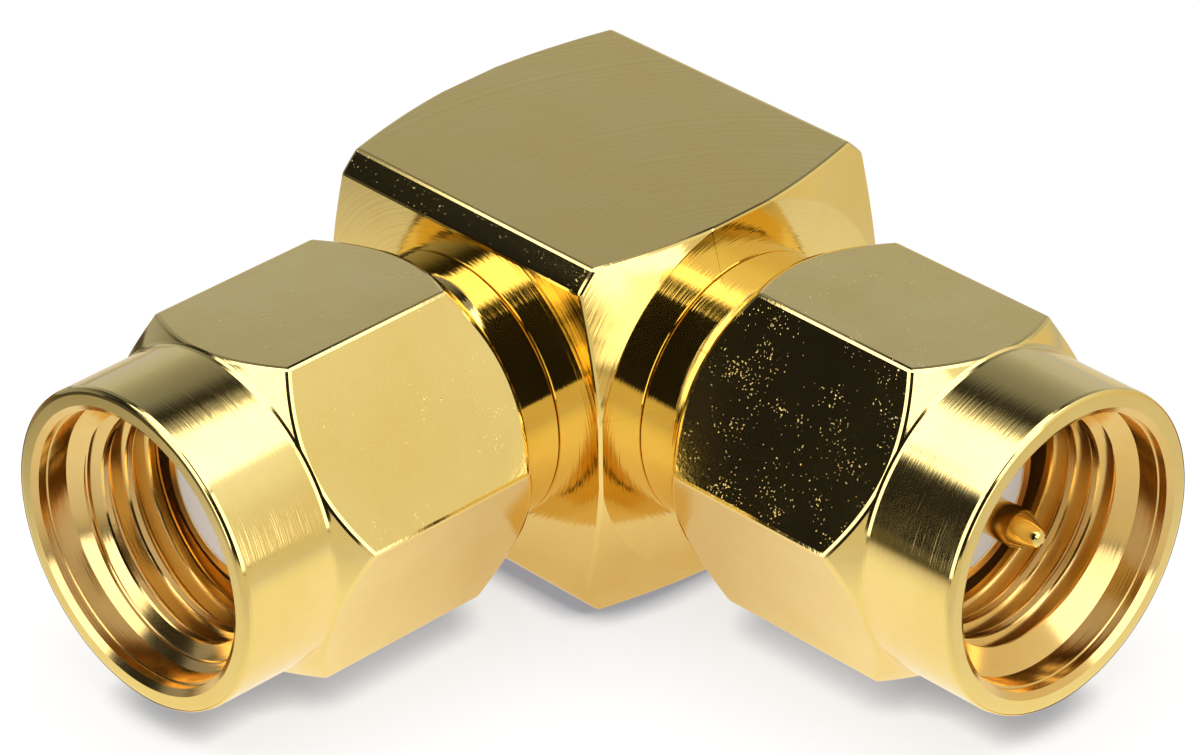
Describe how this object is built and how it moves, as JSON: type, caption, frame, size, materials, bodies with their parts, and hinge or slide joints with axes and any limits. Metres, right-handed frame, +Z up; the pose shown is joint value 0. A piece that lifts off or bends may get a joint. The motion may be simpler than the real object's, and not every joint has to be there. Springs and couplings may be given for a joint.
{
  "type": "right-angle coax adapter",
  "caption": "Gold-plated right-angle coaxial adapter: a small elbow block with a threaded hex coupling nut on each arm, a centre pin in one and a centre socket in the other.",
  "frame": {"origin": "on the block's bottom face, straight below the point where the two arm axes cross, which is 4.65 mm up", "axes": "+Z up, +X out along the arm with the centre pin, -Y out along the arm with the centre socket"},
  "size_m": [0.0196, 0.0194, 0.0093],
  "materials": {
    "gold_plate": "satin gold plate over brass",
    "spring_bronze": "bare spring bronze",
    "white_insulator": "white fluoropolymer, turned"
  },
  "bodies": {
    "adapter": {"elbow_body": "gold_plate", "pin_ferrule": "gold_plate", "socket_ferrule": "gold_plate", "pin_insulator": "white_insulator", "socket_insulator": "white_insulator", "pin_contact": "gold_plate", "socket_contact": "gold_plate"},
    "pin_ring_body": {"pin_snap_ring": "spring_bronze"},
    "pin_nut_body": {"pin_nut": "gold_plate"},
    "socket_ring_body": {"socket_snap_ring": "spring_bronze"},
    "socket_nut_body": {"socket_nut": "gold_plate"}
  },
  "joints": [
    {"name": "pin_nut_play", "type": "slide", "parent": "adapter", "child": "pin_ring_body", "axis": [1, 0, 0], "range_m": [-0.00025, 0.0001]},
    {"name": "pin_nut_turn", "type": "hinge", "parent": "pin_ring_body", "child": "pin_nut_body", "pos_m": [0, 0, 0.00465], "axis": [1, 0, 0], "continuous": true},
    {"name": "socket_nut_play", "type": "slide", "parent": "adapter", "child": "socket_ring_body", "axis": [0, -1, 0], "range_m": [-0.00005, 0.0003]},
    {"name": "socket_nut_turn", "type": "hinge", "parent": "socket_ring_body", "child": "socket_nut_body", "pos_m": [0, 0, 0.00465], "axis": [0, -1, 0], "continuous": true}
  ]
}
